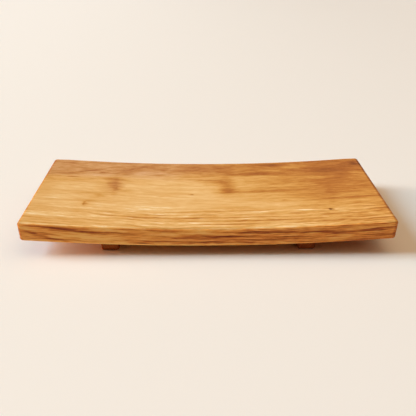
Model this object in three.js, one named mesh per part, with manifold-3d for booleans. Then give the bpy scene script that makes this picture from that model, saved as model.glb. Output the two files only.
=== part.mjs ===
// Footed wooden serving board: one hollowed oak plank on two cross runners,
// each runner held by three pan-head screws driven from below.
// Millimetres, +Z up. The origin is on the table under the middle of the board.
// +X runs along the board, and the long front edge is on the -Y side.
import * as THREE from "three";
import { mergeVertices } from "three/addons/utils/BufferGeometryUtils.js";
import Module from "manifold-3d";

// Board
const boardLength = 450;
const boardDepth = 182;
const boardThickness = 25;
const endRise = 9.5; // how far the ends stand above the middle
const cornerRadius = 5; // the four corners, seen from above
const edgeRadius = 2.5; // eased edges all round
const groundClearance = 14; // between the table and the middle of the underside

// Runners
const runnerSpacing = 243; // centre to centre
const runnerWidth = 22;
const runnerSetback = 12.5; // from the board's front and back edges
const runnerSoleRadius = 3; // rounded lower edges
const runnerEndRadius = 1.5; // eased end faces

// Screws
const shankDiameter = 4;
const headDiameter = 8;
const headHeight = 2.7;
const headRim = 1; // straight side of the head, under its dome
const headRecess = 3; // between the table and the head
const tipLength = 4.5;
const coverOverTip = 9; // wood left between the tip and the serving face
const screwEndMargin = 20; // from the runner's ends to its outer screws
const driveSpan = 4.2; // cross recess in the head
const driveWidth = 1.1;
const driveDepth = 1.5;

// Clearances
const seatGap = 0.3; // between pieces that bear on each other
const headClearance = 0.8; // round the head in its counterbore
const seasonTravel = 3; // slot length that lets the plank swell and shrink across its grain

// Fineness of the curved faces
const lengthSegments = 24;
const depthSegments = 2;
const roundSegments = 2; // in each half of an eased edge
const holeSegments = 16;
const screwSegments = 16;
const domeSegments = 3;

// Worked out from the sizes above
const runnerLength = boardDepth - 2 * runnerSetback;
const counterboreDepth = headRecess + headHeight + seatGap;
const screwRow = runnerLength / 2 - screwEndMargin;
const easing = Math.min(edgeRadius, cornerRadius, boardThickness / 2);

const wasm = await Module();
wasm.setup();

// Height of the underside above the table. The hollow is a shallow parabola along the length.
function undersideHeight(x) {
  const share = (2 * x) / boardLength;
  return groundClearance + endRise * share * share;
}

// Slope of the underside at x.
function undersideSlope(x) {
  return (8 * endRise * x) / (boardLength * boardLength);
}

// A closed geometry as a solid that can be joined and cut.
function solidOf(geometry) {
  const bare = geometry.clone();
  bare.deleteAttribute("normal");
  bare.deleteAttribute("uv");
  const merged = mergeVertices(bare);
  return new wasm.Manifold(
    new wasm.Mesh({
      numProp: 3,
      vertProperties: merged.attributes.position.array,
      triVerts: new Uint32Array(merged.index.array),
    }),
  );
}

// A solid back as a geometry with one normal for each face.
function geometryOf(solid) {
  const mesh = solid.getMesh();
  const geometry = new THREE.BufferGeometry();
  geometry.setAttribute("position", new THREE.BufferAttribute(mesh.vertProperties, 3));
  geometry.setIndex(new THREE.BufferAttribute(mesh.triVerts, 1));
  const faceted = geometry.toNonIndexed();
  faceted.computeVertexNormals();
  return faceted;
}

function cutAll(solid, cutters) {
  return cutters.reduce((left, cutter) => left.subtract(solidOf(cutter)), solid);
}

// Grid lines from -half to half: fine across the eased edge and the corner, even in between.
function gridLines(half, innerSegments, zones) {
  const rim = [half];
  for (const zone of zones) {
    const start = rim[rim.length - 1];
    for (let i = 1; i <= roundSegments; i++) rim.push(start - (zone * i) / roundSegments);
  }
  const inner = rim[rim.length - 1];
  const lines = rim.map((line) => -line);
  for (let i = 1; i < innerSegments; i++) lines.push(-inner + (2 * inner * i) / innerSegments);
  return lines.concat(rim.reverse());
}

// A flat slab with round corners in plan and eased edges, centred on the origin.
// Each point of a box is drawn in to a circle round its corner centre, and then to the edge's quarter round.
function easedSlab(length, depth, thickness) {
  const planZones = cornerRadius > easing ? [easing, cornerRadius - easing] : [easing];
  const reach = planZones.reduce((sum, zone) => sum + zone, 0);
  const xs = gridLines(length / 2, lengthSegments, planZones);
  const ys = gridLines(depth / 2, depthSegments, planZones);
  const zs = gridLines(thickness / 2, 1, [easing]);
  const slab = new THREE.BoxGeometry(1, 1, 1, xs.length - 1, ys.length - 1, zs.length - 1);
  const position = slab.attributes.position;
  const lineAt = (lines, share) => lines[Math.round((share + 0.5) * (lines.length - 1))];
  const past = (value, limit) => value - THREE.MathUtils.clamp(value, -limit, limit);
  for (let i = 0; i < position.count; i++) {
    const x = lineAt(xs, position.getX(i));
    const y = lineAt(ys, position.getY(i));
    const z = lineAt(zs, position.getZ(i));
    const out = new THREE.Vector2(past(x, length / 2 - reach), past(y, depth / 2 - reach));
    const core = new THREE.Vector2(x - out.x, y - out.y);
    const radius = Math.max(Math.abs(out.x), Math.abs(out.y));
    const edge = new THREE.Vector2(Math.max(radius - (reach - easing), 0), past(z, thickness / 2 - easing));
    const flatRadius = Math.min(radius, reach - easing);
    const flatZ = z - edge.y;
    edge.setLength(edge.length() > 0 ? Math.max(edge.x, Math.abs(edge.y)) : 0);
    out.setLength(out.length() > 0 ? flatRadius + edge.x : 0);
    position.setXYZ(i, core.x + out.x, core.y + out.y, flatZ + edge.y);
  }
  return slab;
}

// Lifts each point of a slab by the underside's height there, so that both faces follow the hollow.
function bendToHollow(slab) {
  const position = slab.attributes.position;
  for (let i = 0; i < position.count; i++) {
    const lift = undersideHeight(position.getX(i)) + boardThickness / 2;
    position.setZ(i, position.getZ(i) + lift);
  }
  return slab;
}

// Where a runner's three screws stand along it. Only the middle hole is round: the outer two are slots.
const screwStations = [
  { place: "front", y: -screwRow, travel: seasonTravel },
  { place: "middle", y: 0, travel: 0 },
  { place: "rear", y: screwRow, travel: seasonTravel },
];

// An upright peg with a round or slot-shaped section, from one height to another.
function slotPeg(x, y, radius, travel, bottom, top) {
  const outline = new THREE.Shape();
  outline.absarc(0, travel / 2, radius, 0, Math.PI, false);
  outline.absarc(0, -travel / 2, radius, Math.PI, 2 * Math.PI, false);
  const options = { depth: top - bottom, bevelEnabled: false, curveSegments: holeSegments / 2 };
  return new THREE.ExtrudeGeometry(outline, options).translate(x, y, bottom);
}

// The plank, with a pilot hole for each screw.
function boardGeometry() {
  const plank = bendToHollow(easedSlab(boardLength, boardDepth, boardThickness));
  const pilots = [];
  for (const side of [-1, 1]) {
    const x = (side * runnerSpacing) / 2;
    for (const station of screwStations) {
      const tip = undersideHeight(x) + boardThickness - coverOverTip;
      const mouth = undersideHeight(x) - boardThickness / 2;
      const radius = shankDiameter / 2 + seatGap;
      pilots.push(slotPeg(x, station.y, radius, 0, mouth, tip + seatGap));
    }
  }
  return geometryOf(cutAll(solidOf(plank), pilots));
}

// One runner: its end outline is flat below, round at the lower edges and coped to the hollow above.
function runnerGeometry(x) {
  const left = x - runnerWidth / 2;
  const right = x + runnerWidth / 2;
  const round = Math.min(runnerSoleRadius, runnerWidth / 2);
  const seat = (place) => undersideHeight(place) - seatGap;
  const crown = seat(right) - (undersideSlope(right) * runnerWidth) / 2;
  const outline = new THREE.Shape();
  outline.moveTo(left, seat(left));
  outline.lineTo(left, round);
  outline.absarc(left + round, round, round, Math.PI, 1.5 * Math.PI, false);
  outline.absarc(right - round, round, round, 1.5 * Math.PI, 2 * Math.PI, false);
  outline.lineTo(right, seat(right));
  outline.quadraticCurveTo(x, crown, left, seat(left));
  const bar = new THREE.ExtrudeGeometry(outline, {
    depth: runnerLength - 2 * runnerEndRadius,
    bevelThickness: runnerEndRadius,
    bevelSize: runnerEndRadius,
    bevelOffset: -runnerEndRadius,
    bevelSegments: roundSegments,
    curveSegments: 2 * roundSegments,
  });
  bar.translate(0, 0, runnerEndRadius - runnerLength / 2);
  bar.rotateX(Math.PI / 2);
  const holes = screwStations.flatMap(({ y, travel }) => [
    slotPeg(x, y, headDiameter / 2 + headClearance, travel, -headRecess, counterboreDepth),
    slotPeg(x, y, shankDiameter / 2 + seatGap, travel, -headRecess, undersideHeight(x) + runnerWidth / 2),
  ]);
  return geometryOf(cutAll(solidOf(bar), holes));
}

// One pan-head screw, tip up, standing on its crown at the origin.
function screwGeometry(length) {
  const headRadius = headDiameter / 2;
  const shankRadius = shankDiameter / 2;
  const dome = headHeight - headRim;
  const profile = [];
  for (let i = 0; i <= domeSegments; i++) {
    const angle = (Math.PI / 2) * (i / domeSegments);
    profile.push(new THREE.Vector2(headRadius * Math.sin(angle), dome * (1 - Math.cos(angle))));
  }
  profile.push(new THREE.Vector2(headRadius, headHeight));
  profile.push(new THREE.Vector2(shankRadius, headHeight));
  profile.push(new THREE.Vector2(shankRadius, length - tipLength));
  profile.push(new THREE.Vector2(0, length));
  const body = new THREE.LatheGeometry(profile, screwSegments).rotateX(Math.PI / 2);
  const drive = [0, Math.PI / 2].map((turn) => {
    const blade = new THREE.BoxGeometry(driveSpan, driveWidth, 2 * driveDepth);
    return blade.rotateZ(turn);
  });
  return geometryOf(cutAll(solidOf(body), drive));
}

const boardWood = new THREE.MeshStandardMaterial({ color: 0xd79f5c, roughness: 0.48, metalness: 0 });
const runnerWood = new THREE.MeshStandardMaterial({ color: 0x9c5f30, roughness: 0.55, metalness: 0 });
const screwSteel = new THREE.MeshStandardMaterial({ color: 0xb9b7b2, roughness: 0.32, metalness: 1 });

function piece(name, geometry, material) {
  const mesh = new THREE.Mesh(geometry, material);
  mesh.name = name;
  return mesh;
}

const servingBoard = new THREE.Group();
servingBoard.add(piece("board", boardGeometry(), boardWood));

for (const [sideName, side] of [["left", -1], ["right", 1]]) {
  const x = (side * runnerSpacing) / 2;
  const tip = undersideHeight(x) + boardThickness - coverOverTip;
  servingBoard.add(piece(`${sideName}_runner`, runnerGeometry(x), runnerWood));
  for (const station of screwStations) {
    const screw = piece(`${sideName}_screw_${station.place}`, screwGeometry(tip - headRecess), screwSteel);
    screw.position.set(x, station.y, headRecess);
    servingBoard.add(screw);
  }
}

export default servingBoard;
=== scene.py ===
"""Footed wooden serving board: a hollowed oak plank on two cross runners that are screwed on from below.

Metres, +Z up. +X runs along the board, and its long front edge is on the -Y side.
"""

import math
from collections import namedtuple

import bpy
import numpy as np
from mathutils import Matrix, Vector


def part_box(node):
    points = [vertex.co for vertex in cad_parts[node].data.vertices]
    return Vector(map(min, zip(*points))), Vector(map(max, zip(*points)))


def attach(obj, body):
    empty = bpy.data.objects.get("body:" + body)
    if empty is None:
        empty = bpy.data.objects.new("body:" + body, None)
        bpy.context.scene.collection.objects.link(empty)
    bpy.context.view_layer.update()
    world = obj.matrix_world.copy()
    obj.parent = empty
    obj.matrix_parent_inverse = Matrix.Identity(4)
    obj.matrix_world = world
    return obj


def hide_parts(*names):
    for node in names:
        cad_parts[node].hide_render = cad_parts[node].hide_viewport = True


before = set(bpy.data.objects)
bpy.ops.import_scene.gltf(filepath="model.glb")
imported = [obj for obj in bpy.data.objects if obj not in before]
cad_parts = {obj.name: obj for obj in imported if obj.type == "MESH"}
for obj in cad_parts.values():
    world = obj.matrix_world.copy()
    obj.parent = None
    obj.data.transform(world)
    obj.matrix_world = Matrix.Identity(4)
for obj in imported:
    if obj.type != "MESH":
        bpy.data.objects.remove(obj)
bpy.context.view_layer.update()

MM = 0.001
PER_METRE = 1000.0
TINY = 1e-12
WELD_DIGITS = 9  # points that agree to this many digits of a metre are one point

# Board
board_low, board_high = (np.array(corner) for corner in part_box("board"))
BOARD_LENGTH = board_high[0] - board_low[0]
BOARD_DEPTH = board_high[1] - board_low[1]
GROUND_CLEARANCE = board_low[2]
BOARD_THICKNESS = 25 * MM
END_RISE = 9.5 * MM  # how far the ends stand above the middle
FRONT_CORNER = 4 * MM  # plan radius of the front corners
BACK_CORNER = 5.5 * MM
LOWER_ROUND = 2.6 * MM  # eased lower edges
BACK_ROUND = 2.2 * MM  # eased upper edges
END_ROUND = 4.2 * MM
FRONT_ROUND = 1.5 * MM
WORN_ROUND = 2.7 * MM  # how much rounder hands have worn the middle of the front edge
WORN_SPAN = 80 * MM
FRONT_BLEND = (0.4, 0.8)  # shares of the half depth between which the back round becomes the front one
END_BLEND = (0.9, 0.98)  # shares of the half length between which both become the end round
BOARD_STEP = 2.5 * MM  # mesh size of the flat stretches
RIM_STEPS = 12  # mesh steps across a rim, which holds the eased edge

# Faint waves that hand sanding leaves: their height, and their length along and across the board. A minus
# leans a wave the other way.
Wave = namedtuple("Wave", "height along across")
SANDING_WAVES = (
    Wave(0.07 * MM, 210 * MM, 340 * MM),
    Wave(0.05 * MM, -470 * MM, 83 * MM),
    Wave(0.025 * MM, 61 * MM, 120 * MM),
)

# Open check in the serving face
CHECK_PLACE = (153 * MM, -53.5 * MM)
CHECK_HALF_SIZE = (2.6 * MM, 1.1 * MM)
CHECK_DEPTH = 1.3 * MM
CHECK_FALLOFF = 2.0
CHECK_REACH = 1.6  # how far the finer mesh reaches, in the check's half sizes
CHECK_STEP = 0.35 * MM

# Runners
SEAT_GAP = 0.3 * MM  # between the board and a runner
SEAT_ROUND = 0.2 * MM  # the edges of the coped top are only just broken
SOLE_ROUND = 3 * MM
RUNNER_STEP = 3 * MM
RUNNER_CREASE = math.radians(40)  # edges sharper than this stay crisp
SLOT_TRAVEL = 3 * MM  # how much longer than wide the outer slots are, so that the plank can swell and shrink
BORE_RADIUS = 4.8 * MM
BORE_DEPTH = 6 * MM
SHANK_HOLE_RADIUS = 2.3 * MM
BORE_LIP = 0.4 * MM  # chamfer round the mouth of a counterbore
SLOT_STEPS = 24  # mesh steps round each half of a slot

# Screws
HEAD_RADIUS = 4 * MM
HEAD_HEIGHT = 2.7 * MM
HEAD_RIM = 1 * MM
HEAD_SOFT = 0.2 * MM  # broken edge of the rim
CROWN_START = 0.08  # share of the crown's quarter round that its flat middle takes
CROWN_ROWS = 9
THREAD_CREST = 2 * MM
THREAD_ROOT = 1.35 * MM
THREAD_PITCH = 1.8 * MM
THREAD_ROWS = 9  # mesh rows in one pitch
RIDGE_HALF_WIDTH = 0.24  # share of a pitch
TIP_LENGTH = 4.5 * MM
TIP_SHARE = 0.02  # share of the radius that is left at the point
SCREW_SIDES = 32
SCREW_CREASE = math.radians(35)
CROSS_SPAN = 4.2 * MM
CROSS_WIDTH = 1.1 * MM
CROSS_DEPTH = 1.5 * MM
CROSS_TAPER = 0.35  # how much narrower the recess is at its deep end
DRIVE_TURN = math.radians(37)  # each screw stops at another angle

SIDES = ("left", "right")
STATIONS = ("front", "middle", "rear")


def smooth_step(low, high, values):
    """0 below low, 1 above high, and an S-curve between them."""
    share = np.clip((values - low) / (high - low), 0, 1)
    return share * share * (3 - 2 * share)


def hollow(x):
    """Rise of both faces of the board at x: a shallow parabola along the length."""
    return END_RISE * (2 * x / BOARD_LENGTH) ** 2


def mesh_piece(name, points, faces):
    """A smooth-shaded object from an array of points and a list of faces."""
    mesh = bpy.data.meshes.new(name)
    mesh.from_pydata(points.tolist(), [], [list(face) for face in faces])
    mesh.shade_smooth()
    piece = bpy.data.objects.new(name, mesh)
    bpy.context.scene.collection.objects.link(piece)
    return piece


def graded_lines(half, step, rim, spot=None, spot_half=0.0, spot_step=1.0):
    """Grid lines from -half to half: fine across each rim, even in between, and finer round one spot."""
    inner = half - rim
    even = np.linspace(-inner, inner, max(2, round(2 * inner / step) + 1))
    edge = np.linspace(inner, half, RIM_STEPS + 1)[1:]
    lines = np.concatenate([-edge, even, edge])
    if spot is not None:
        near = np.arange(spot - spot_half, spot + spot_half, spot_step)
        far = lines[np.abs(lines - spot) > spot_half + spot_step]
        lines = np.concatenate([far, near])
    return np.unique(lines)


def box_grid(xs, ys, zs):
    """Quads on the six faces of a box whose grid lines are xs, ys and zs, with their shared points welded."""
    lines = (xs, ys, zs)
    points, quads, count = [], [], 0
    for axis in range(3):
        u_axis, v_axis = (axis + 1) % 3, (axis + 2) % 3
        u, v = np.meshgrid(lines[u_axis], lines[v_axis], indexing="ij")
        index = np.arange(u.size).reshape(u.shape)
        for end in (0, -1):
            face = np.empty((u.size, 3))
            face[:, axis] = lines[axis][end]
            face[:, u_axis] = u.ravel()
            face[:, v_axis] = v.ravel()
            corners = [index[:-1, :-1], index[1:, :-1], index[1:, 1:], index[:-1, 1:]]
            outward = corners if end else corners[::-1]
            quads.append(np.stack(outward, -1).reshape(-1, 4) + count)
            points.append(face)
            count += u.size
    welded, place = np.unique(np.concatenate(points).round(WELD_DIGITS), axis=0, return_inverse=True)
    return welded, place.reshape(-1)[np.concatenate(quads)]


def eased(points, half, corner, upper, lower):
    """Rounds a sharp box: each point is drawn in to a circle round its corner centre, seen from above,
    and then to the quarter round of the upper or lower edge. Radii may differ from point to point."""
    limit = np.array(half[:2]) - np.broadcast_to(corner, len(points))[:, None]
    core = np.clip(points[:, :2], -limit, limit)
    out = points[:, :2] - core
    reach = np.abs(out).max(1)
    heading = out / np.maximum(np.linalg.norm(out, axis=1), TINY)[:, None]
    edge = np.where(points[:, 2] > 0, upper, lower)
    rim = np.maximum(reach - (corner - edge), 0)
    level = np.clip(points[:, 2], -(half[2] - edge), half[2] - edge)
    rise = points[:, 2] - level
    shrink = np.maximum(rim, np.abs(rise)) / np.maximum(np.hypot(rim, rise), TINY)
    plan = core + heading * (np.minimum(reach, corner - edge) + rim * shrink)[:, None]
    return np.column_stack([plan, level + rise * shrink])


def check_dip(x, y):
    """Depth of the open check: a bell that is longer along the grain than across it."""
    along = (x - CHECK_PLACE[0]) / CHECK_HALF_SIZE[0]
    across = (y - CHECK_PLACE[1]) / CHECK_HALF_SIZE[1]
    return CHECK_DEPTH * np.exp(-CHECK_FALLOFF * (along**2 + across**2))


def hand_finish(x, y):
    """Height of the sanding waves: crossing sine waves, together under a fifth of a millimetre."""
    return sum(
        wave.height * np.sin(2 * np.pi * (x / wave.along + y / wave.across))
        for wave in SANDING_WAVES
    )


def board_piece():
    """The plank: an eased box whose points are lifted by the hollow, with the open check sunk in its top.
    The round of its upper edge blends from the back to the front, where a bell adds the wear, and then
    to the ends."""
    half = (BOARD_LENGTH / 2, BOARD_DEPTH / 2, BOARD_THICKNESS / 2)
    reach = [CHECK_REACH * size for size in CHECK_HALF_SIZE]
    xs = graded_lines(half[0], BOARD_STEP, BACK_CORNER, CHECK_PLACE[0], reach[0], 2 * CHECK_STEP)
    ys = graded_lines(half[1], BOARD_STEP, BACK_CORNER, CHECK_PLACE[1], reach[1], CHECK_STEP)
    zs = graded_lines(half[2], BOARD_STEP, FRONT_ROUND + WORN_ROUND)
    flat, quads = box_grid(xs, ys, zs)
    front = smooth_step(*(share * half[1] for share in FRONT_BLEND), -flat[:, 1])
    end = smooth_step(*(share * half[0] for share in END_BLEND), np.abs(flat[:, 0]))
    wear = WORN_ROUND * np.exp(-((flat[:, 0] / WORN_SPAN) ** 2))
    upper = BACK_ROUND + (FRONT_ROUND + wear - BACK_ROUND) * front
    upper += (END_ROUND - upper) * end
    corner = np.maximum(np.where(flat[:, 1] < 0, FRONT_CORNER, BACK_CORNER), upper)
    points = eased(flat, half, corner, upper, LOWER_ROUND)
    top_share = smooth_step(0, half[2], flat[:, 2])
    x, y = points[:, 0], points[:, 1]
    points[:, 2] += top_share * (hand_finish(x, y) - check_dip(x, y))
    points[:, 2] += GROUND_CLEARANCE + half[2] + hollow(x)
    return mesh_piece("serving_board", points, quads)


def ringed(rings):
    """Points and faces of a closed tube: quads between rings of points, and one flat cap at each end."""
    count, sides = rings.shape[:2]
    index = np.arange(count * sides).reshape(count, sides)
    after = np.roll(index, -1, axis=1)
    quads = np.stack([index[:-1], after[:-1], after[1:], index[1:]], -1).reshape(-1, 4)
    faces = quads.tolist() + [index[0, ::-1].tolist(), index[-1].tolist()]
    return rings.reshape(-1, 3), faces


def cut(piece, cutter):
    """Takes the cutter's solid out of the piece, and deletes the cutter."""
    modifier = piece.modifiers.new("cut", "BOOLEAN")
    modifier.operation = "DIFFERENCE"
    modifier.solver = "EXACT"
    modifier.object = cutter
    graph = bpy.context.evaluated_depsgraph_get()
    result = bpy.data.meshes.new_from_object(piece.evaluated_get(graph))
    piece.modifiers.clear()
    piece.data = result
    bpy.data.objects.remove(cutter)


def slot_cutter(x, y, travel, top):
    """A stepped peg that cuts a counterbore and its shank hole: a profile of radii carried round a slot."""
    turn = np.linspace(0, 2 * np.pi, 2 * SLOT_STEPS, endpoint=False) + np.pi / (2 * SLOT_STEPS)
    outline = np.column_stack([np.cos(turn), np.sin(turn)])
    shift = np.column_stack([np.zeros_like(turn), np.sign(outline[:, 1]) * travel / 2])
    profile = [
        (BORE_RADIUS + BORE_LIP, -BORE_DEPTH),
        (BORE_RADIUS + BORE_LIP, 0.0),
        (BORE_RADIUS, BORE_LIP),
        (BORE_RADIUS, BORE_DEPTH),
        (SHANK_HOLE_RADIUS, BORE_DEPTH),
        (SHANK_HOLE_RADIUS, top),
    ]
    rings = [np.column_stack([outline * radius + shift, np.full(len(turn), z)]) for radius, z in profile]
    points, faces = ringed(np.array(rings))
    return mesh_piece("slot_cutter", points + np.array([x, y, 0.0]), faces)


def runner_piece(side):
    """A cross runner: an eased bar coped to the hollow on top, with a counterbored hole for each screw."""
    low, high = (np.array(corner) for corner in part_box(f"{side}_runner"))
    middle = (low + high) / 2
    height = GROUND_CLEARANCE + hollow(middle[0]) - SEAT_GAP
    half = ((high[0] - low[0]) / 2, (high[1] - low[1]) / 2, height / 2)
    flat, quads = box_grid(*(graded_lines(size, RUNNER_STEP, SOLE_ROUND) for size in half))
    points = eased(flat, half, SOLE_ROUND, SEAT_ROUND, SOLE_ROUND)
    points[:, 0] += middle[0]
    share = (points[:, 2] + half[2]) / height
    points[:, 2] = share * (GROUND_CLEARANCE + hollow(points[:, 0]) - SEAT_GAP)
    runner = mesh_piece(f"{side}_cross_runner", points, quads)
    for station in STATIONS:
        screw_low, screw_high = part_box(f"{side}_screw_{station}")
        x, y = (screw_low + screw_high).xy / 2
        travel = 0.0 if station == "middle" else SLOT_TRAVEL
        cut(runner, slot_cutter(x, y, travel, 2 * height))
    runner.data.shade_smooth()
    runner.data.set_sharp_from_angle(angle=RUNNER_CREASE)
    return runner


def screw_profile(length):
    """Rows of (radius, height) up a screw, and how many of them are its head: an elliptic crown, the rim and
    the bearing face, and then close rows up the thread."""
    quarter = np.linspace(CROWN_START, 1, CROWN_ROWS) * np.pi / 2
    dome = HEAD_HEIGHT - HEAD_RIM
    crown = np.column_stack([HEAD_RADIUS * np.sin(quarter), dome * (1 - np.cos(quarter))])
    rim = np.array([
        (HEAD_RADIUS, HEAD_HEIGHT - HEAD_SOFT),
        (HEAD_RADIUS - HEAD_SOFT, HEAD_HEIGHT),
        (THREAD_CREST + HEAD_SOFT, HEAD_HEIGHT),
    ])
    heights = np.arange(HEAD_HEIGHT + HEAD_SOFT, length, THREAD_PITCH / THREAD_ROWS)
    shank = np.column_stack([np.full(len(heights), THREAD_CREST), heights])
    return np.concatenate([crown, rim, shank]), len(crown) + len(rim)


def cross_cutter(turn):
    """One blade of the cross recess: a box that narrows as it goes in, turned about the screw's axis."""
    blade = (CROSS_SPAN / 2, CROSS_WIDTH / 2, CROSS_DEPTH)
    points, faces = box_grid(*(np.array([-size, size]) for size in blade))
    points[:, :2] *= 1 - CROSS_TAPER * np.clip(points[:, 2:] / CROSS_DEPTH, 0, 1)
    cutter = mesh_piece("cross_cutter", points, faces)
    cutter.data.transform(Matrix.Rotation(turn, 4, "Z"))
    return cutter


def screw_piece(side, station, turn):
    """A pan-head wood screw, tip up: a profile turned round the axis, and a ridge winding up the shank."""
    low, high = (np.array(corner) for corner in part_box(f"{side}_screw_{station}"))
    length = high[2] - low[2]
    profile, head_rows = screw_profile(length)
    angle = np.linspace(0, 2 * np.pi, SCREW_SIDES, endpoint=False)
    radius = np.repeat(profile[:, :1], SCREW_SIDES, axis=1)
    height = np.repeat(profile[:, 1:], SCREW_SIDES, axis=1)
    phase = (height / THREAD_PITCH - angle / (2 * np.pi)) % 1
    ridge = np.clip(1 - np.abs(phase - 0.5) / RIDGE_HALF_WIDTH, 0, 1)
    taper = np.clip((length - height) / TIP_LENGTH, TIP_SHARE, 1)
    thread = (THREAD_ROOT + (THREAD_CREST - THREAD_ROOT) * ridge) * taper
    radius[head_rows:] = thread[head_rows:]
    rings = np.stack([radius * np.cos(angle), radius * np.sin(angle), height], -1)
    screw = mesh_piece(f"{side}_{station}_wood_screw", *ringed(rings))
    for blade_turn in (0, math.pi / 2):
        cut(screw, cross_cutter(blade_turn))
    middle = (low + high) / 2
    place = Matrix.Translation((middle[0], middle[1], low[2]))
    screw.data.transform(place @ Matrix.Rotation(turn, 4, "Z"))
    screw.data.shade_smooth()
    screw.data.set_sharp_from_angle(angle=SCREW_CREASE)
    return screw


# A noise pattern: the size of its blobs on each axis, in millimetres, and how fine and rough it is
Figure = namedtuple("Figure", "size detail roughness", defaults=(2.0, 0.5))


class Graph:
    """Short calls that add nodes to a tree. An input takes a number, a colour, a vector or another socket."""

    def __init__(self, tree):
        self.tree = tree

    def feed(self, socket, value):
        """Links another node's socket to this one, or sets this one's own value."""
        if isinstance(value, bpy.types.NodeSocket):
            self.tree.links.new(value, socket)
        elif value is not None:
            socket.default_value = value

    def node(self, kind, inputs=(), **settings):
        made = self.tree.nodes.new(kind)
        for name, value in settings.items():
            setattr(made, name, value)
        pairs = inputs.items() if isinstance(inputs, dict) else enumerate(inputs)
        for key, value in pairs:
            self.feed(made.inputs[key], value)
        return made

    def group(self, tree, inputs):
        """A shared node group placed in this tree. Gives its outputs."""
        return self.node("ShaderNodeGroup", inputs, node_tree=tree).outputs

    def math(self, operation, *values):
        return self.node("ShaderNodeMath", values, operation=operation).outputs[0]

    def vector(self, operation, *values):
        return self.node("ShaderNodeVectorMath", values, operation=operation).outputs[0]

    def parts(self, place):
        return self.node("ShaderNodeSeparateXYZ", [place]).outputs

    def joined(self, *parts):
        return self.node("ShaderNodeCombineXYZ", parts).outputs[0]

    def millimetres(self):
        """Places of the row frame, in millimetres."""
        place = self.node("ShaderNodeTexCoord").outputs["Object"]
        return self.vector("MULTIPLY", place, (PER_METRE,) * 3)

    def noise(self, place, figure):
        """Noise from 0 to 1."""
        inputs = {
            "Vector": self.vector("MULTIPLY", place, [1 / size for size in figure.size]),
            "Scale": 1.0,
            "Detail": figure.detail,
            "Roughness": figure.roughness,
        }
        return self.node("ShaderNodeTexNoise", inputs).outputs["Fac"]

    def swing(self, place, figure):
        """Noise that swings about 0."""
        return self.math("SUBTRACT", self.noise(place, figure), 0.5)

    def weighted(self, total, *pairs):
        """total plus each pair's product."""
        for value, weight in pairs:
            total = self.math("MULTIPLY_ADD", value, weight, total)
        return total

    def shares(self, total, masks, weights):
        """total plus each named mask times its weight."""
        return self.weighted(total, *((masks[name], weight) for name, weight in weights.items()))

    def between(self, share, first, second):
        """A value on the way from one to another."""
        return self.weighted(first, (share, self.math("SUBTRACT", second, first)))

    def rise(self, value, low, high):
        """An S-curve from 0 at low to 1 at high."""
        inputs = {"Value": value, "From Min": low, "From Max": high}
        made = self.node("ShaderNodeMapRange", inputs, interpolation_type="SMOOTHSTEP")
        return made.outputs[0]

    def mix(self, share, first, second, blend="MIX"):
        made = self.node("ShaderNodeMix", data_type="RGBA", blend_type=blend)
        for name, value in (("Factor_Float", share), ("A_Color", first), ("B_Color", second)):
            self.feed(next(item for item in made.inputs if item.identifier == name), value)
        return next(item for item in made.outputs if item.identifier == "Result_Color")

    def ramp(self, value, stops):
        made = self.node("ShaderNodeValToRGB", [value])
        elements = made.color_ramp.elements
        while len(elements) < len(stops):
            elements.new(1.0)
        for element, (place, colour) in zip(elements, stops):
            element.position = place
            element.color = (*colour, 1.0)
        return made.outputs["Color"]


def new_group(name, inputs, outputs):
    """An empty shader node group, and a Graph on it, with named input and output sockets."""
    group = bpy.data.node_groups.new(name, "ShaderNodeTree")
    kinds = {"vector": "NodeSocketVector", "value": "NodeSocketFloat"}
    for label, kind in inputs:
        group.interface.new_socket(name=label, in_out="INPUT", socket_type=kinds[kind])
    for label, kind in outputs:
        group.interface.new_socket(name=label, in_out="OUTPUT", socket_type=kinds[kind])
    return group, Graph(group)


# Wood figure. Its nodes work in millimetres of the row frame, with the grain along the first axis.
TOP_MIDDLE = (GROUND_CLEARANCE + BOARD_THICKNESS) * PER_METRE
THICKNESS = BOARD_THICKNESS * PER_METRE
HALF_LENGTH = BOARD_LENGTH / 2 * PER_METRE
HALF_DEPTH = BOARD_DEPTH / 2 * PER_METRE
RISE = END_RISE * PER_METRE
PITH_Y = 99.5  # the heart of the tree ran behind and above the plank
PITH_Z = 215.0
PITH_BENDS = ((-57.0, -0.11), (35.0, 0.055))  # past these places it swings back, by these slopes
RING_WIDTH = 5.0
RING_PHASE = 0.46
RING_WANDER = Figure((110, 30, 30))
RING_WAVER = Figure((32, 7, 7))
RING_UNEVEN = Figure((1 / 2.3, 150, 1), 3.0, 0.6)  # its first size is in rings
WANDER_REACH = 8.0  # how far the rings wander and waver
WAVER_REACH = 1.1
EVEN_SHARE = 0.5  # how much of a growth line is even, and how much uneven
UNEVEN_SHARE = 3.4
ARC_RADIUS = 200.0  # turns an angle round the pith into millimetres

# Fibres, pores and ray flecks, and the levels of noise at which the last two start and are full
FIBRE_PARTS = ("Fibre", "Pores", "Flecks")
LONG_FIBRE = Figure((34, 1.5, 7), 4.0, 0.65)
SHORT_FIBRE = Figure((12, 1.1, 4))
SHORT_FIBRE_SHARE = 0.55
PORES = Figure((7, 0.5, 0.6), 1.0)
PORE_SPAN = (0.62, 0.74)
FLECKS = Figure((19, 1.3, 5), 1.0)
FLECK_SPAN = (0.60, 0.74)
FIBRE_ROUGHNESS = 0.3
PORE_ROUGHNESS = 0.15
PORE_SINK = -0.5  # beside the fibres' height of 1
RELIEF_STRENGTH = 0.35
RELIEF_HEIGHT = 0.2 * MM
OIL_SHINE = 0.1  # the thin oil finish hardly shines

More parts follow.
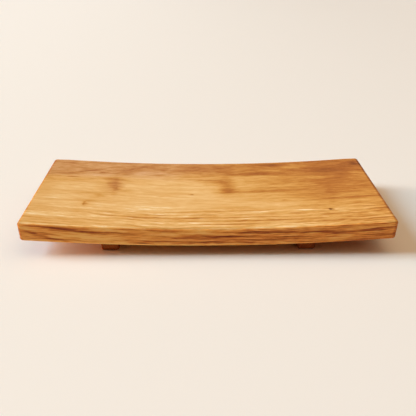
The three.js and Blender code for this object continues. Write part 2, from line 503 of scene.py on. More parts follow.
# Streaks and blotches of the board
FRAY = Figure((9, 2.4, 2.4))
SWAY = Figure((26, 8, 8))
SLOW_SWAY = Figure((90, 20, 20))
EDGE_SWAY = 6.0  # how far the streaks of the long edges sway
BLOTCH = Figure((80, 24, 24), 3.0)
STREAK = Figure((170, 5, 14))
RED_LINE = Figure((120, 2.2, 9))
RED_LINE_SPAN = (0.50, 0.68)
HEART_RADIUS = 184.0  # where the reddish heartwood starts
HEART_BORDER = 5.5
HEART_BLOTCH = 6.0  # how far blotches and streaks shift its border
HEART_STREAK = 9.0

# Where the board's zones start and where they are full
TOP_SPAN = (10.0, 2.0)  # these four by the depth below the serving face
RAGGED_SPAN = (3.6, 1.6)
BELOW_SPAN = (2.0, 12.0)
UNDER_SPAN = (THICKNESS - 2.0, THICKNESS - 0.2)
EDGE_SPAN = (HALF_DEPTH - 1.6, HALF_DEPTH - 0.2)  # these two by the distance from the middle
END_SPAN = (HALF_LENGTH - 1.6, HALF_LENGTH - 0.4)
ARRIS_FRAY = 3.0  # how far the arrises are frayed
CLOSE_RINGS_SPAN = (220.0, 240.0)  # by the distance from the pith
BACK_SPAN = (-70.0, 10.0)  # by the place across the board
LEFT_ARRIS_SPAN = (5.0 - HALF_LENGTH, 1.6 - HALF_LENGTH)  # and the rest by the place along it
RIGHT_ARRIS_SHADE_SPAN = (HALF_LENGTH - 5.6, HALF_LENGTH - 3.8)
RIGHT_FACE_SPAN = (HALF_LENGTH - 0.3, HALF_LENGTH - 1.0)  # the painted shade of the right arris stops short of the end face
LEFT_SPAN = (-100.0, -200.0)
RIGHT_WOOD_AND_SHADE_SPAN = (-10.0, 190.0)
LIVELY_SPAN = (-190.0, -60.0)
HEART_TINT_SPAN = (80.0, -80.0)
LEFT_WOOD_AND_WARM_LIGHT_SPAN = (120.0, -200.0)

# The board's tone before its marks: a base, and what each zone and figure adds to it
BASE_TONE = 0.195
TONE_WEIGHTS = {
    "left": -0.02,
    # right: painted shade with some of the plank's own tone, darker to the right
    "right": 1.0,
    "heart": 0.29,
    "close rings": 0.13,
    "edge": -0.165,
    "red line": 0.34,
    "below": 0.03,
    "under": 0.02,
    "end": 0.34,
    "left arris": 0.31,
    # painted shade: the right arris turns away from the light
    "right arris": 0.18,
    "blotch": 0.32,
    "streak": 0.32,
    "pores": 0.06,
    "flecks": -0.16,
}
RING_TONE = 0.03  # how much the growth lines show
RING_WEIGHTS = {"lively": 0.15, "heart": 0.02, "edge": -0.10, "end": 0.06}
FIBRE_TONE = 0.50  # how much the fibres show
FIBRE_WEIGHTS = {"lively": 0.50, "heart": 0.02, "edge": 0.35, "end": -0.30}
RIGHT_WOOD_AND_SHADE_TONE = 0.16  # how much darker the right side is: in part the plank's own tone, in part painted shade
RIGHT_WOOD_AND_SHADE_WEIGHTS = {"back": 0.27}
RIGHT_WOOD_AND_SHADE_KEPT_WEIGHTS = {"heart": -0.75, "edge": -0.75}  # the heart and the long edges keep little of that
LIVELY_LEFT = 0.4  # how lively the close rings are at the left end
BOARD_ROUGHNESS = 0.52

# Frayed marks on the wood
Mark = namedtuple("Mark", "x y length width lean tone")
MARK_FRAY = 14.0
MARK_SWAY = 5.0
MARK_FALLOFF = 1.8

# Knots, smears and streaks of the serving face: half sizes along and across the grain, and how dark they are
TOP_MARKS = {
    "heart streak": Mark(-166, 58, 44, 4.4, 0.42, 0.20),
    "heart streak, left end": Mark(-195, 45, 24, 4.6, 0.10, 0.04),
    "heart streak, upper": Mark(-104, 70, 36, 5.4, 0.52, 0.16),
    "heart blotch": Mark(-148, 52.5, 9, 4.2, 0.0, 0.20),
    "pale gap": Mark(-147, 45.5, 18, 5, 0.1, -0.16),
    "heart patch": Mark(-114, 56, 13, 10, 0.0, 0.14),
    "pale throat": Mark(-94, 50, 16, 9, 0.0, -0.08),
    "left smear": Mark(-188, 36, 14, 3.2, 0.05, 0.31),
    "left shade": Mark(-218, 30, 34, 22, 0.0, 0.14),
    "left blush": Mark(-216, -4, 20, 44, 0.0, 0.12),
    "left slope": Mark(-165, 31, 56, 8, 0.18, 0.20),
    "knot head": Mark(-127, 34, 23, 8, 0.0, 0.19),
    "knot heart": Mark(-127, 30, 16, 9, 0.0, 0.10),
    "knot cheek, left": Mark(-133, 18, 9, 12, 0.0, 0.10),
    "knot cheek, right": Mark(-117, 13, 6, 10, 0.0, 0.10),
    "knot throat": Mark(-125.5, 15, 13, 26, 0.0, 0.26),
    "knot core": Mark(-124, 7, 6, 17, 0.0, 0.17),
    "knot tail": Mark(-110, 1, 14, 5, 0.0, 0.16),
    "knot fleck": Mark(-107, 30, 16, 4, -0.1, 0.18),
    "knot halo": Mark(-142, 14, 17, 16, 0.0, 0.12),
    "left blotch": Mark(-142, -14, 11, 6, 0.0, 0.22),
    "left line": Mark(-160, -8, 34, 2.8, 0.03, 0.18),
    "left band": Mark(-166, -29.5, 46, 4.5, 0.02, 0.18),
    "pale field": Mark(-105, -42, 100, 11, 0.0, -0.18),
    "pale corner": Mark(-200, -68, 60, 16, 0.0, -0.13),
    "pale flank": Mark(-182, -47, 34, 9, 0.0, -0.10),
    "pale corner, back": Mark(-214, 83, 16, 8, 0.0, -0.12),
    "pale field, front": Mark(-105, -55, 26, 8, 0.0, -0.11),
    "pale field, right": Mark(100, -47, 40, 7, 0.0, -0.09),
    "small knot, halo": Mark(-154, -34, 15, 9, 0.0, 0.09),
    "small knot": Mark(-156, -36.5, 3.6, 7, 0.0, 0.38),
    "pin knot": Mark(-22, -6.5, 3.0, 1.9, 0.2, 0.48),
    "back line": Mark(-22, 65, 44, 4.5, 0.0, 0.16),
    "back patch": Mark(-67, 51, 12, 8, 0.0, 0.10),
    "middle line": Mark(-8, 36, 28, 3.2, -0.08, 0.24),
    "middle dusk": Mark(6, 27, 38, 14, 0.0, 0.12),
    "middle dusk, right": Mark(102, 30, 40, 9, 0.0, 0.12),
    "middle dusk, front": Mark(52, -22, 36, 8, 0.0, 0.08),
    "heart field": Mark(20, 70, 90, 22, 0.0, 0.07),
    "heart field, right": Mark(150, 62, 90, 26, 0.0, 0.13),
    "heart arc": Mark(34, 64, 12, 20, 0.0, 0.06),
    "heart lip": Mark(70, 53, 56, 6, 0.0, 0.18),
    "heart lip, middle": Mark(-20, 47, 46, 6.5, 0.0, 0.18),
    "heart dusk": Mark(70, 64, 26, 9, 0.0, 0.10),
    "pale lip": Mark(70, 44.5, 46, 4, 0.0, -0.04),
    "back blotch": Mark(92, 81, 34, 7, 0.0, 0.28),
    "pale flame": Mark(124, 72, 38, 9, 0.15, -0.20),
    "pale flame, lower": Mark(140, 62, 24, 6, 0.0, -0.10),
    "right cloud": Mark(172, 54, 34, 20, -0.1, 0.08),
    "right shade": Mark(180, 30, 30, 22, 0.0, 0.10),
    "right corner": Mark(206, 68, 28, 22, 0.0, 0.18),
    # painted shade deepening the back of the right arris
    "right arris shade, back": Mark(218, 74, 11, 18, 0.0, 0.18),
    "right rim": Mark(220, -48, 11, 36, 0.0, 0.05),
    "smear upright": Mark(26, 17, 16, 34, 0.0, 0.26),
    "smear foot": Mark(26, 0.5, 20, 8, 0.0, 0.17),
    "smear middle": Mark(28, 10, 15, 11, 0.0, 0.09),
    "smear line": Mark(80, 0, 76, 6, 0.0, 0.20),
    "middle shade": Mark(72, 8, 66, 40, 0.0, 0.08),
    "smear cloud": Mark(12, 29, 30, 10, 0.0, 0.18),
    "right line": Mark(190, -26.5, 44, 4, 0.0, 0.20),
    "right upright": Mark(163, -10, 9, 34, 0.0, 0.06),
    "dash": Mark(97, -24.5, 6, 1.8, 0.0, 0.24),
    # the check is painted dark: in part painted shade in the crack, in part its own darker wood
    "check": Mark(153, -53.5, 3.4, 1.8, 0.0, 1.05),
    "bright line, left": Mark(-122, -67, 30, 2.2, -0.05, -0.10),
    "bright line, middle": Mark(74, -52.5, 50, 2.0, 0.0, -0.42),
    "bright line, check": Mark(122, -52.4, 22, 1.9, -0.08, -0.42),
    "bright line, right": Mark(177, -56, 28, 2.0, -0.03, -0.32),
    "bright streak, left": Mark(-96, -78, 40, 2.8, -0.03, -0.20),
    "bright streak, edge": Mark(-30, -83.5, 60, 3.0, 0.0, -0.20),
    "bright streak, middle": Mark(18, -78, 46, 2.2, 0.0, -0.18),
    "bright streak, right": Mark(88, -79.5, 14, 2.2, 0.0, -0.24),
    # painted highlight on the eased front edge at the right
    "painted highlight, right edge": Mark(130, -87.0, 90, 3.0, 0.0, -0.32),
    "bright edge, left": Mark(-150, -89.2, 110, 2.2, 0.0, -0.26),
    "dark streak, left": Mark(-36, -66.5, 60, 2.0, 0.0, 0.18),
    "front shade": Mark(0, -73, 26, 7, 0.0, 0.11),
    "dark streak, middle": Mark(20, -81, 50, 1.8, 0.0, 0.14),
    "dark streak, right": Mark(62, -73.5, 52, 2.2, 0.0, 0.18),
}

# Streaks of the long edges, the back one turned round: the second place is the depth below the serving face
EDGE_MARKS = {
    "long streak": Mark(-164, 6.0, 80, 3.6, 0.060, 0.46),
    "long streak, core": Mark(-165, 5.4, 50, 2.2, 0.060, 0.22),
    "left streak": Mark(-208, 13.2, 26, 2.6, 0.24, 0.42),
    "left streak, lower": Mark(-176, 20.5, 40, 2.2, 0.15, 0.26),
    "left streak, middle": Mark(-165, 15.5, 45, 1.6, 0.10, 0.22),
    "left gold": Mark(-156, 13, 56, 5.2, 0.05, -0.25),
    "worn gold": Mark(0, 5.5, 64, 4.0, 0.0, -0.12),
    "left gold, lower": Mark(-128, 21, 50, 3.5, 0.03, -0.20),
    "middle streak": Mark(-20, 12.5, 60, 3.4, -0.02, 0.36),
    "middle streak, right": Mark(24, 12.0, 46, 1.9, -0.03, 0.26),
    "low streak": Mark(5, 19.3, 62, 2.4, 0.0, 0.40),
    "low streak, left": Mark(-85, 19, 34, 2.2, 0.0, 0.34),
    "right streak": Mark(68, 5.6, 46, 2.8, 0.0, 0.46),
    "right streak, far": Mark(136, 7, 44, 3.6, 0.03, 0.14),
    "right gold": Mark(172, 17, 24, 3.4, 0.05, -0.12),
    "right shade, low": Mark(88, 18.5, 46, 4.0, 0.0, 0.16),
    "right streak, lower": Mark(104, 14, 46, 2.2, 0.02, 0.28),
    "slant streak": Mark(152, 11, 46, 2.0, 0.12, 0.20),
    "end streak": Mark(196, 8.5, 34, 2.6, -0.04, 0.42),
    "end streak, lower": Mark(195, 19, 34, 1.7, 0.02, 0.10),
    "end shade": Mark(206, 16, 30, 6.0, 0.0, 0.20),
    "end shade, low": Mark(165, 21.5, 54, 3.0, 0.0, 0.18),
    "upper shade": Mark(-70, 2.0, 58, 2.4, 0.0, 0.24),
    "upper shade, right": Mark(52, 2.0, 28, 2.4, 0.0, 0.12),
    # painted highlight on the upper arris at the right
    "painted highlight, upper arris": Mark(156, 2.0, 30, 2.4, 0.0, -0.10),
    # painted light: the lower arris paler, as if lit from the floor
    "painted light, lower arris": Mark(-60, 22.6, 140, 2.0, 0.0, -0.40),
}

# Colours of the oiled oak, from the palest fleck to the darkest line
OAK_TONES = (
    (0.00, (0.95, 0.76, 0.49)),
    (0.07, (0.85, 0.585, 0.285)),
    (0.12, (0.83, 0.545, 0.250)),
    (0.25, (0.76, 0.450, 0.168)),
    (0.38, (0.69, 0.372, 0.110)),
    (0.50, (0.60, 0.284, 0.065)),
    (0.64, (0.475, 0.180, 0.036)),
    (0.78, (0.37, 0.120, 0.024)),
    (1.00, (0.17, 0.045, 0.010)),
)
HEART_TINT = (0.95, 0.98, 1.5, 1.0)
KNOT_BLUSH = {"knot": Mark(-126, 18, 13, 26, 0.0, 0.8)}  # the knot has the heart's tint too
LEFT_WOOD_AND_WARM_LIGHT_TINT = (1.028, 1.0, 0.96, 1.0)  # the plank is a little warmer to the left: in part its own tone, in part painted warm light
END_TINT = (0.94, 0.96, 1.15, 1.0)  # end grain drinks more oil and turns brown
EDGE_WOOD_AND_SHADE_TONES = (  # the long edges cut across warmer wood, and part of their deeper warmth is painted warm shade
    (0.00, (0.98, 0.54, 0.155)),
    (0.20, (0.91, 0.405, 0.085)),
    (0.40, (0.75, 0.252, 0.047)),
    (0.60, (0.50, 0.128, 0.025)),
    (0.80, (0.30, 0.066, 0.016)),
    (1.00, (0.16, 0.031, 0.008)),
)

# Runners: darker oak, the right one darker still, in part its own wood and in part painted shade
RUNNER_PITH = (20.0, 70.0)
RUNNER_RING_WIDTH = 3.4
RUNNER_WOOD_AND_SHADE_SPAN = (-60.0, 60.0)
RUNNER_TONE = 0.29
RUNNER_WEIGHTS = {"right": 0.27, "line": 0.14, "fibre": 0.9, "pores": 0.12}
RUNNER_ROUGHNESS = 0.5
RUNNER_TONES = (
    (0.0, (0.46, 0.135, 0.024)),
    (0.5, (0.31, 0.066, 0.010)),
    (1.0, (0.13, 0.024, 0.005)),
)

# Zinc-plated steel
STEEL_BLOOM = Figure((1 / 0.6,) * 3, 3.0)
STEEL_RINGS = Figure((5, 5, 1 / 14), 1.0)
BLOOM_SPAN = (0.35, 0.7)
STEEL_ROUGHNESS = 0.16
BLOOM_ROUGHNESS = 0.22
RINGS_ROUGHNESS = 0.12
STEEL_TONES = (
    (0.0, (0.66, 0.65, 0.62)),
    (1.0, (0.52, 0.46, 0.36)),
)


def growth_rings_group():
    """Growth lines: a cosine of the distance from the pith, which wanders, and noise that makes the rings
    uneven and lets them fade in and out along the grain. Line runs from about -1, pale, to 1, dark. Grain is
    the place along the pith, out from it and round it."""
    numbers = ("Pith Y", "Pith Z", "Ring Width", "Phase")
    group, graph = new_group(
        "growth_rings",
        [("Place", "vector"), *((name, "value") for name in numbers)],
        [("Line", "value"), ("Radius", "value"), ("Grain", "vector")],
    )
    given = graph.node("NodeGroupInput").outputs
    place = given["Place"]
    x, y, z = graph.parts(place)
    off_y = graph.math("SUBTRACT", y, given["Pith Y"])
    off_z = graph.math("SUBTRACT", z, given["Pith Z"])
    radius = graph.math("SQRT", graph.weighted(0.0, (off_y, off_y), (off_z, off_z)))
    wander = graph.swing(place, RING_WANDER)
    waver = graph.swing(place, RING_WAVER)
    radius = graph.weighted(radius, (wander, WANDER_REACH), (waver, WAVER_REACH))
    ring = graph.math("SUBTRACT", graph.math("DIVIDE", radius, given["Ring Width"]), given["Phase"])
    wave = graph.math("COSINE", graph.math("MULTIPLY", ring, 2 * math.pi))
    uneven = graph.swing(graph.joined(ring, x, 0.0), RING_UNEVEN)
    arc = graph.math("MULTIPLY", graph.math("ARCTAN2", off_y, off_z), ARC_RADIUS)
    graph.node("NodeGroupOutput", {
        "Line": graph.weighted(0.0, (wave, EVEN_SHARE), (uneven, UNEVEN_SHARE)),
        "Radius": radius,
        "Grain": graph.joined(x, radius, arc),
    })
    return group


def wood_fibre_group():
    """Fine fibres, short dark pores and bright ray flecks: noise stretched along the grain and round the
    rings. Fibre swings about 0, and the other two run from 0 to 1."""
    group, graph = new_group("wood_fibre", [("Grain", "vector")], [(name, "value") for name in FIBRE_PARTS])
    grain = graph.node("NodeGroupInput").outputs["Grain"]
    long_fibre = graph.swing(grain, LONG_FIBRE)
    short_fibre = graph.swing(grain, SHORT_FIBRE)
    graph.node("NodeGroupOutput", {
        "Fibre": graph.weighted(long_fibre, (short_fibre, SHORT_FIBRE_SHARE)),
        "Pores": graph.rise(graph.noise(grain, PORES), *PORE_SPAN),
        "Flecks": graph.rise(graph.noise(grain, FLECKS), *FLECK_SPAN),
    })
    return group


def grain_mark_group():
    """A soft leaning bell with frayed edges: 1 in its middle, and little past its half sizes."""
    numbers = ("X", "Y", "Fray", "Sway", "Centre X", "Centre Y", "Half Length", "Half Width", "Lean")
    group, graph = new_group("grain_mark", [(name, "value") for name in numbers], [("Mask", "value")])
    given = graph.node("NodeGroupInput").outputs
    off_x = graph.math("SUBTRACT", given["X"], given["Centre X"])
    off_x = graph.weighted(off_x, (given["Fray"], MARK_FRAY))
    off_y = graph.math("SUBTRACT", given["Y"], given["Centre Y"])
    off_y = graph.weighted(off_y, (given["Sway"], MARK_SWAY))
    off_y = graph.math("SUBTRACT", off_y, graph.math("MULTIPLY", off_x, given["Lean"]))
    along = graph.math("DIVIDE", off_x, given["Half Length"])
    across = graph.math("DIVIDE", off_y, given["Half Width"])
    square = graph.weighted(0.0, (along, along), (across, across))
    bell = graph.math("EXPONENT", graph.math("MULTIPLY", square, -MARK_FALLOFF))
    graph.node("NodeGroupOutput", {"Mask": bell})
    return group


def marks_tone(graph, group, given, marks):
    """The marks' tones added up. given holds the sockets that every mark shares."""
    total = 0.0
    for mark in marks.values():
        inputs = {
            **given,
            "Centre X": mark.x,
            "Centre Y": mark.y,
            "Half Length": mark.length,
            "Half Width": mark.width,
            "Lean": mark.lean,
        }
        mask = graph.group(group, inputs)["Mask"]
        total = graph.weighted(total, (mask, mark.tone))
    return total


def new_material(name):
    """A material with a Principled shader, and a Graph on its nodes."""
    material = bpy.data.materials.new(name)
    material.use_nodes = True
    return material, Graph(material.node_tree), material.node_tree.nodes["Principled BSDF"]


def wood_surface(graph, shader, colour, fibre, rough):
    """Joins the colour to the shader, with fine roughness and relief from the fibres and pores."""
    height = graph.weighted(fibre["Fibre"], (fibre["Pores"], PORE_SINK))
    relief = {"Strength": RELIEF_STRENGTH, "Distance": RELIEF_HEIGHT, "Height": height}
    roughness = graph.weighted(rough, (fibre["Fibre"], FIBRE_ROUGHNESS), (fibre["Pores"], PORE_ROUGHNESS))
    graph.feed(shader.inputs["Base Color"], colour)
    graph.feed(shader.inputs["Roughness"], roughness)
    graph.feed(shader.inputs["Normal"], graph.node("ShaderNodeBump", relief).outputs[0])
    shader.inputs["Specular IOR Level"].default_value = OIL_SHINE


Zones = namedtuple("Zones", "depth top edge end left_arris right_arris below under")


def board_zones(graph, place, fray):
    """The depth below the serving face, and masks of the plank's surfaces, ragged along the upper arrises."""
    x, y, z = graph.parts(place)
    share = graph.math("DIVIDE", x, HALF_LENGTH)
    face = graph.weighted(TOP_MIDDLE, (graph.math("MULTIPLY", share, share), RISE))
    depth = graph.math("SUBTRACT", face, z)
    ragged = graph.math("MULTIPLY", fray, graph.rise(depth, *RAGGED_SPAN))
    aside = graph.weighted(graph.math("ABSOLUTE", y), (ragged, -ARRIS_FRAY))
    rough_x = graph.weighted(x, (fray, ARRIS_FRAY))
    right_rim_shade = graph.rise(rough_x, *RIGHT_ARRIS_SHADE_SPAN)
    return Zones(
        depth=depth,
        top=graph.rise(depth, *TOP_SPAN),
        edge=graph.rise(aside, *EDGE_SPAN),
        end=graph.rise(graph.math("ABSOLUTE", x), *END_SPAN),
        left_arris=graph.rise(rough_x, *LEFT_ARRIS_SPAN),
        # painted shade along the right arris, which turns away from the light
        right_arris=graph.math("MULTIPLY", right_rim_shade, graph.rise(x, *RIGHT_FACE_SPAN)),
        below=graph.rise(depth, *BELOW_SPAN),
        under=graph.rise(depth, *UNDER_SPAN),
    )


def board_rings(graph, group, place):
    """The plank's growth rings, round a pith that swings back towards both ends."""
    x = graph.parts(place)["X"]
    pith_y = PITH_Y
    for start, slope in PITH_BENDS:
        bend = graph.math("MULTIPLY", graph.math("SUBTRACT", x, start), slope)
        pith_y = graph.math("ADD", graph.math("MAXIMUM", bend, 0.0), pith_y)
    return graph.group(group, {
        "Place": place,
        "Pith Y": pith_y,
        "Pith Z": PITH_Z,
        "Ring Width": RING_WIDTH,
        "Phase": RING_PHASE,
    })


Grain = namedtuple("Grain", "fibre blotch streak red_line heart")


def board_grain(graph, group, place, rings, zones):
    """The plank's fibres, blotches, streaks and heart. The long edges have streaks of their own."""
    x, y, _ = graph.parts(place)
    level = graph.weighted(zones.depth, (graph.swing(place, SLOW_SWAY), EDGE_SWAY))
    runs = (rings["Grain"], graph.joined(x, level, y))
    top_fibre, edge_fibre = (graph.group(group, {"Grain": run}) for run in runs)
    top_streak, edge_streak = (graph.swing(run, STREAK) for run in runs)
    blotch = graph.swing(place, BLOTCH)
    streak = graph.between(zones.edge, top_streak, edge_streak)
    red_line = graph.rise(graph.noise(runs[1], RED_LINE), *RED_LINE_SPAN)
    heart_radius = graph.weighted(rings["Radius"], (blotch, HEART_BLOTCH), (streak, HEART_STREAK))
    return Grain(
        fibre={name: graph.between(zones.edge, top_fibre[name], edge_fibre[name]) for name in FIBRE_PARTS},
        blotch=blotch,
        streak=streak,
        red_line=graph.math("MULTIPLY", red_line, zones.edge),
        heart=graph.rise(heart_radius, HEART_RADIUS + HEART_BORDER, HEART_RADIUS - HEART_BORDER),
    )


def board_tone(graph, place, rings, zones, grain):
    """How dark the plank is before its marks, from 0, pale, to 1, dark: the weights of its zones and figures
    added up."""
    x, y, _ = graph.parts(place)
    masks = {
        "left": graph.rise(x, *LEFT_SPAN),
        "back": graph.rise(y, *BACK_SPAN),
        "heart": grain.heart,
        "close rings": graph.rise(rings["Radius"], *CLOSE_RINGS_SPAN),
        "edge": zones.edge,
        "red line": grain.red_line,
        "below": zones.below,
        "under": zones.under,
        "end": zones.end,
        "left arris": zones.left_arris,
        "right arris": zones.right_arris,
        "blotch": grain.blotch,
        "streak": grain.streak,
        "pores": grain.fibre["Pores"],
    }
    # The right side is darker, in part the plank's own tone and in part painted shade, as the light comes
    # from the left; the heart and the long edges keep little of it.
    right = graph.math("MULTIPLY", graph.rise(x, *RIGHT_WOOD_AND_SHADE_SPAN), graph.shares(RIGHT_WOOD_AND_SHADE_TONE, masks, RIGHT_WOOD_AND_SHADE_WEIGHTS))
    masks["right"] = graph.math("MULTIPLY", right, graph.shares(1.0, masks, RIGHT_WOOD_AND_SHADE_KEPT_WEIGHTS))
    life = graph.weighted(LIVELY_LEFT, (graph.rise(x, *LIVELY_SPAN), 1 - LIVELY_LEFT))
    masks["lively"] = graph.math("MULTIPLY", masks["close rings"], life)
    fleck_share = graph.math("SUBTRACT", masks["lively"], zones.edge)
    masks["flecks"] = graph.math("MULTIPLY", grain.fibre["Flecks"], fleck_share)
    return graph.weighted(
        graph.shares(BASE_TONE, masks, TONE_WEIGHTS),
        (rings["Line"], graph.shares(RING_TONE, masks, RING_WEIGHTS)),
        (grain.fibre["Fibre"], graph.shares(FIBRE_TONE, masks, FIBRE_WEIGHTS)),
    )


def board_oak_material(rings_group, fibre_group, mark_group):
    """Oiled oak from one plank: pale in the middle, reddish heart along the back, close lines in front."""
    material, graph, shader = new_material("board_oak")
    place = graph.millimetres()
    x, y, _ = graph.parts(place)
    fray = graph.swing(place, FRAY)
    zones = board_zones(graph, place, fray)
    rings = board_rings(graph, rings_group, place)
    grain = board_grain(graph, fibre_group, place, rings, zones)
    tone = board_tone(graph, place, rings, zones, grain)

    top_given = {"X": x, "Y": y, "Fray": fray, "Sway": graph.swing(place, SWAY)}
    turned_x = graph.math("MULTIPLY", x, graph.math("SIGN", graph.math("MULTIPLY", y, -1.0)))
    edge_given = {**top_given, "X": turned_x, "Y": zones.depth}
    top_marks = marks_tone(graph, mark_group, top_given, TOP_MARKS)
    edge_marks = marks_tone(graph, mark_group, edge_given, EDGE_MARKS)
    tone = graph.weighted(tone, (top_marks, zones.top), (edge_marks, zones.edge))

    blush = graph.math("MULTIPLY", marks_tone(graph, mark_group, top_given, KNOT_BLUSH), zones.top)
    tint = graph.math("MULTIPLY", grain.heart, graph.rise(x, *HEART_TINT_SPAN))
    colour = graph.ramp(tone, OAK_TONES)
    colour = graph.mix(graph.math("MAXIMUM", tint, blush), colour, HEART_TINT, "MULTIPLY")
    # warmer to the left: in part the plank's tone, in part painted warm light
    colour = graph.mix(graph.rise(x, *LEFT_WOOD_AND_WARM_LIGHT_SPAN), colour, LEFT_WOOD_AND_WARM_LIGHT_TINT, "MULTIPLY")
    # the long edges and the underside take the warmer colours; on the long edges they are in part painted
    # warm shade
    colour = graph.mix(graph.math("MAXIMUM", zones.edge, zones.under), colour, graph.ramp(tone, EDGE_WOOD_AND_SHADE_TONES))
    colour = graph.mix(zones.end, colour, END_TINT, "MULTIPLY")
    wood_surface(graph, shader, colour, grain.fibre, BOARD_ROUGHNESS)
    return material


def runner_oak_material(rings_group, fibre_group):
    """Darker oak whose grain runs across the board, along the runners."""
    material, graph, shader = new_material("runner_oak")
    x, y, z = graph.parts(graph.millimetres())
    pith_y, pith_z = RUNNER_PITH
    rings = graph.group(rings_group, {
        "Place": graph.joined(y, x, z),
        "Pith Y": pith_y,
        "Pith Z": pith_z,
        "Ring Width": RUNNER_RING_WIDTH,
        "Phase": 0.0,
    })
    fibre = graph.group(fibre_group, {"Grain": rings["Grain"]})
    masks = {
        # the right runner darker: in part its own wood, in part painted shade
        "right": graph.rise(x, *RUNNER_WOOD_AND_SHADE_SPAN),
        "line": rings["Line"],
        "fibre": fibre["Fibre"],
        "pores": fibre["Pores"],
    }
    tone = graph.shares(RUNNER_TONE, masks, RUNNER_WEIGHTS)
    wood_surface(graph, shader, graph.ramp(tone, RUNNER_TONES), fibre, RUNNER_ROUGHNESS)
    return material


def screw_steel_material():
    """Zinc plate: grey steel with a faint warm bloom in soft blotches, and fine rings left by turning."""
    material, graph, shader = new_material("screw_steel")
    place = graph.millimetres()
    bloom = graph.noise(place, STEEL_BLOOM)
    rings = graph.noise(place, STEEL_RINGS)
    roughness = graph.weighted(STEEL_ROUGHNESS, (bloom, BLOOM_ROUGHNESS), (rings, RINGS_ROUGHNESS))
    graph.feed(shader.inputs["Base Color"], graph.ramp(graph.rise(bloom, *BLOOM_SPAN), STEEL_TONES))
    graph.feed(shader.inputs["Roughness"], roughness)
    shader.inputs["Metallic"].default_value = 1.0
    return material


# Camera: where the lens stands, how it is turned, and its focal length in millimetres
CAMERA_PLACE = (-10.2 * MM, -581.8 * MM, 351.8 * MM)
CAMERA_PITCH = math.radians(30.085)
CAMERA_YAW = math.radians(1.06)
CAMERA_ROLL = math.radians(0.25)
CAMERA_LENS = 42.66
CAMERA_SENSOR = 36.0
CAMERA_NEAR = 0.01
CAMERA_FAR = 50.0


def camera():
    """The photograph's view: a forward direction from yaw and pitch, with the picture rolled about it."""
    forward = Vector((
        math.sin(CAMERA_YAW) * math.cos(CAMERA_PITCH),
        math.cos(CAMERA_YAW) * math.cos(CAMERA_PITCH),
        -math.sin(CAMERA_PITCH),
    ))
    level = Vector((math.cos(CAMERA_YAW), -math.sin(CAMERA_YAW), 0))
    upright = level.cross(forward)
    right = math.cos(CAMERA_ROLL) * level + math.sin(CAMERA_ROLL) * upright
    up = math.cos(CAMERA_ROLL) * upright - math.sin(CAMERA_ROLL) * level
    turn = Matrix((right, up, -forward)).transposed().to_4x4()
    data = bpy.data.cameras.new("camera")
    data.lens = CAMERA_LENS
    data.sensor_width = CAMERA_SENSOR
    data.clip_start = CAMERA_NEAR
    data.clip_end = CAMERA_FAR
    holder = bpy.data.objects.new("camera", data)
    holder.matrix_world = Matrix.Translation(CAMERA_PLACE) @ turn
    bpy.context.scene.collection.objects.link(holder)
    bpy.context.scene.camera = holder


# Light: soft suns from the left, where a cool window stands above a pale card and a low warm card, a faint
# softbox overhead, and a warm sky. A sun's place gives the direction that it shines from.
Sun = namedtuple("Sun", "place width strength colour mirrored")
SUNS = {
    "window": Sun((-7.7, 0.3, 6.4), math.radians(24), 2.2, (0.525, 0.825, 1.0), True),
    "pale_card": Sun((-9.3, 0.3, 3.75), math.radians(18), 1.2, (0.86, 1.0, 0.94), False),
    "low_card": Sun((-9.7, 1.0, 1.73), math.radians(16), 2.2, (1.0, 0.52, 0.31), False),
}
SOFTBOX_PLACE = (0.0, 0.0, 4.0)
SOFTBOX_SIZE = (4.0, 2.2)
SOFTBOX_POWER = 10.0
SOFTBOX_COLOUR = (1.0, 0.8, 0.55)
SKY_COLOUR = (1.52, 1.03, 0.60)  # straight up; it fades towards the horizon, and faster to the front and back
SKY_BAND = 3.0
SKY_LEAN = 1.0  # the sky is brighter on the right
# The backdrop and the floor are painted darker to the right, as the light falls off.
BACKDROP_LIT_LEFT = (0.967, 0.897, 0.806, 1.0)
BACKDROP_SHADED_RIGHT = (0.826, 0.740, 0.653, 1.0)
BACKDROP_TURN = 0.2  # how far to each side the backdrop goes from its lit tone to its painted shade
# painted shade: the floor darker to the right, as the light falls off
FLOOR_LIT_LEFT = (0.925, 0.915, 0.920, 1.0)
FLOOR_SHADED_RIGHT = (0.790, 0.760, 0.745, 1.0)
FLOOR_TURN = 1.0
FLOOR_SIZE = 12.0
FLOOR_ROUGHNESS = 0.9


def add_light(name, kind, place, power, colour):
    """A light that faces the board from a place."""
    data = bpy.data.lights.new(name, kind)
    data.energy = power
    data.color = colour
    holder = bpy.data.objects.new(name, data)
    holder.location = place
    holder.rotation_euler = Vector(place).to_track_quat("Z", "Y").to_euler()
    bpy.context.scene.collection.objects.link(holder)
    return holder


def lights():
    """The suns, of which only the window shows in reflections, and the softbox."""
    for name, sun in SUNS.items():
        holder = add_light(name, "SUN", sun.place, sun.strength, sun.colour)
        holder.data.angle = sun.width
        holder.visible_glossy = sun.mirrored
    softbox = add_light("softbox", "AREA", SOFTBOX_PLACE, SOFTBOX_POWER, SOFTBOX_COLOUR)
    softbox.data.shape = "RECTANGLE"
    softbox.data.size, softbox.data.size_y = SOFTBOX_SIZE


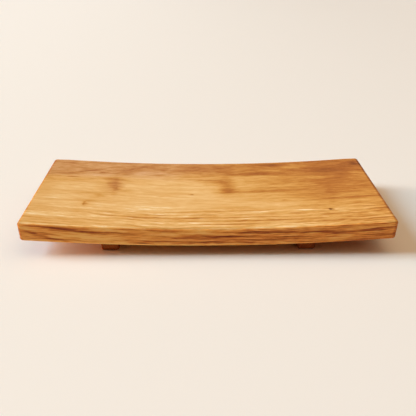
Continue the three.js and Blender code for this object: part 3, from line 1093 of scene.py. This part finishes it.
def sky():
    """A sky that is brightest overhead: the square of the height, in a band from left to right that leans to
    the right. The camera, and rays that are reflected or let through, see a pale backdrop in its place,
    painted darker to the right as the light falls off."""
    world = bpy.data.worlds.new("studio")
    world.use_nodes = True
    bpy.context.scene.world = world
    graph = Graph(world.node_tree)
    direction = graph.parts(graph.node("ShaderNodeTexCoord").outputs["Generated"])
    height = graph.math("MAXIMUM", direction["Z"], 0.0)
    aside = graph.math("MULTIPLY", direction["Y"], direction["Y"])
    band = graph.math("EXPONENT", graph.math("MULTIPLY", aside, -SKY_BAND))
    lean = graph.weighted(1.0, (direction["X"], SKY_LEAN))
    glow = graph.math("MULTIPLY", graph.math("MULTIPLY", height, height), graph.math("MULTIPLY", band, lean))
    light = graph.vector("SCALE", SKY_COLOUR, None, None, glow)
    painted_falloff = graph.rise(direction["X"], -BACKDROP_TURN, BACKDROP_TURN)
    backdrop = graph.mix(painted_falloff, BACKDROP_LIT_LEFT, BACKDROP_SHADED_RIGHT)
    path = graph.node("ShaderNodeLightPath").outputs
    seen = graph.math("MAXIMUM", path["Is Camera Ray"], path["Is Glossy Ray"])
    seen = graph.math("MAXIMUM", seen, path["Is Transmission Ray"])
    graph.feed(world.node_tree.nodes["Background"].inputs["Color"], graph.mix(seen, light, backdrop))


def floor():
    """A wide pale floor, painted a little darker to the right as the light falls off."""
    half = FLOOR_SIZE / 2
    points = np.array([(-half, -half, 0), (half, -half, 0), (half, half, 0), (-half, half, 0)], float)
    piece = mesh_piece("floor", points, [(0, 1, 2, 3)])
    material, graph, shader = new_material("floor_paper")
    x = graph.parts(graph.node("ShaderNodeTexCoord").outputs["Object"])["X"]
    painted_falloff = graph.rise(x, -FLOOR_TURN, FLOOR_TURN)
    graph.feed(shader.inputs["Base Color"], graph.mix(painted_falloff, FLOOR_LIT_LEFT, FLOOR_SHADED_RIGHT))
    shader.inputs["Roughness"].default_value = FLOOR_ROUGHNESS
    shader.inputs["Specular IOR Level"].default_value = 0.0
    piece.data.materials.append(material)


def fit(piece, material, slot, *nodes):
    """Gives a piece its material, and puts it in the CAD nodes' place on the one body."""
    piece.data.materials.clear()
    piece.data.materials.append(material)
    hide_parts(*nodes)
    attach(piece, "root")


bpy.context.scene.view_settings.view_transform = "Standard"
camera()
lights()
sky()
floor()

growth_rings = growth_rings_group()
wood_fibre = wood_fibre_group()
board_oak = board_oak_material(growth_rings, wood_fibre, grain_mark_group())
runner_oak = runner_oak_material(growth_rings, wood_fibre)
screw_steel = screw_steel_material()

fit(board_piece(), board_oak, "oak_board", "board")
screw_count = 0
for side in SIDES:
    fit(runner_piece(side), runner_oak, "oak_runner", f"{side}_runner")
    for station in STATIONS:
        screw = screw_piece(side, station, DRIVE_TURN * screw_count)
        fit(screw, screw_steel, "screw_steel", f"{side}_screw_{station}")
        screw_count += 1
